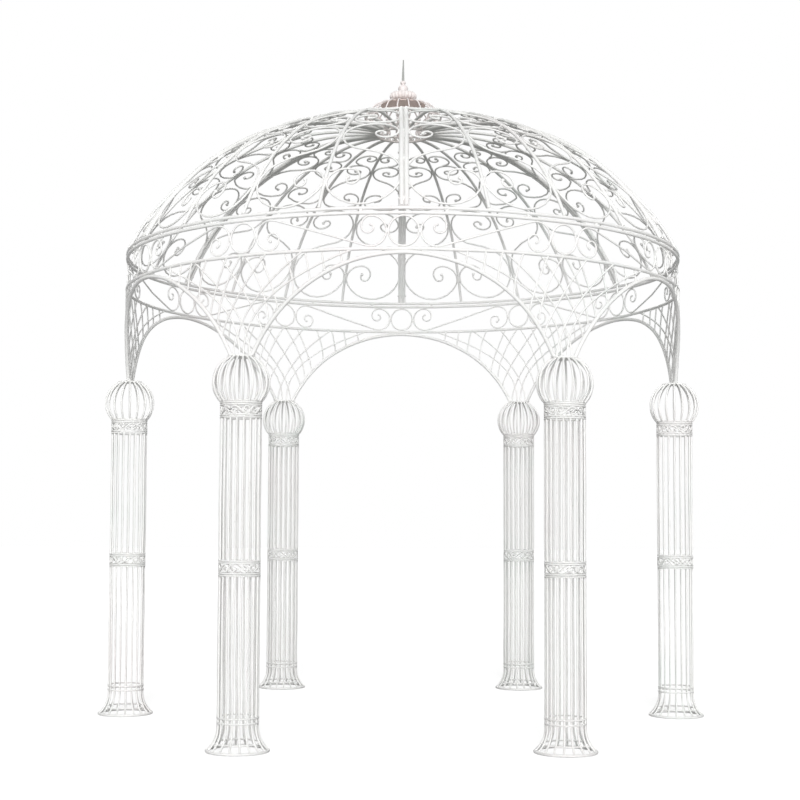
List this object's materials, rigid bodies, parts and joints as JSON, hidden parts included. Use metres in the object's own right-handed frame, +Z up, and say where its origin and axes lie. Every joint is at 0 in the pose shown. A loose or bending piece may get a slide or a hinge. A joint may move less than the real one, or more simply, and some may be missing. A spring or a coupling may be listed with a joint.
{
  "type": "wrought iron garden pavilion",
  "caption": "Open wrought iron garden pavilion: round cage columns, lattice arches and a scrollwork rib dome with a small ribbed cap and spire.",
  "frame": {"origin": "middle of the plan, on the ground under the spire", "axes": "+Z up; -Y faces the front arch between two columns; +X to the right"},
  "size_m": [4.396, 4.028, 4.8337],
  "materials": {
    "painted_iron": "white paint on wrought iron, matt with slight wear"
  },
  "bodies": {
    "root": {"foot_1": "painted_iron", "foot_2": "painted_iron", "foot_3": "painted_iron", "foot_4": "painted_iron", "foot_5": "painted_iron", "foot_6": "painted_iron", "shaft_1": "painted_iron", "shaft_2": "painted_iron", "shaft_3": "painted_iron", "shaft_4": "painted_iron", "shaft_5": "painted_iron", "shaft_6": "painted_iron", "ball_1": "painted_iron", "ball_2": "painted_iron", "ball_3": "painted_iron", "ball_4": "painted_iron", "ball_5": "painted_iron", "ball_6": "painted_iron", "spandrel_1": "painted_iron", "spandrel_2": "painted_iron", "spandrel_3": "painted_iron", "spandrel_4": "painted_iron", "spandrel_5": "painted_iron", "spandrel_6": "painted_iron", "frieze_1": "painted_iron", "frieze_2": "painted_iron", "frieze_3": "painted_iron", "frieze_4": "painted_iron", "frieze_5": "painted_iron", "frieze_6": "painted_iron", "gore_1": "painted_iron", "gore_2": "painted_iron", "gore_3": "painted_iron", "gore_4": "painted_iron", "gore_5": "painted_iron", "gore_6": "painted_iron", "crown_ring": "painted_iron", "lantern": "painted_iron", "cap": "painted_iron", "finial": "painted_iron"}
  },
  "joints": []
}
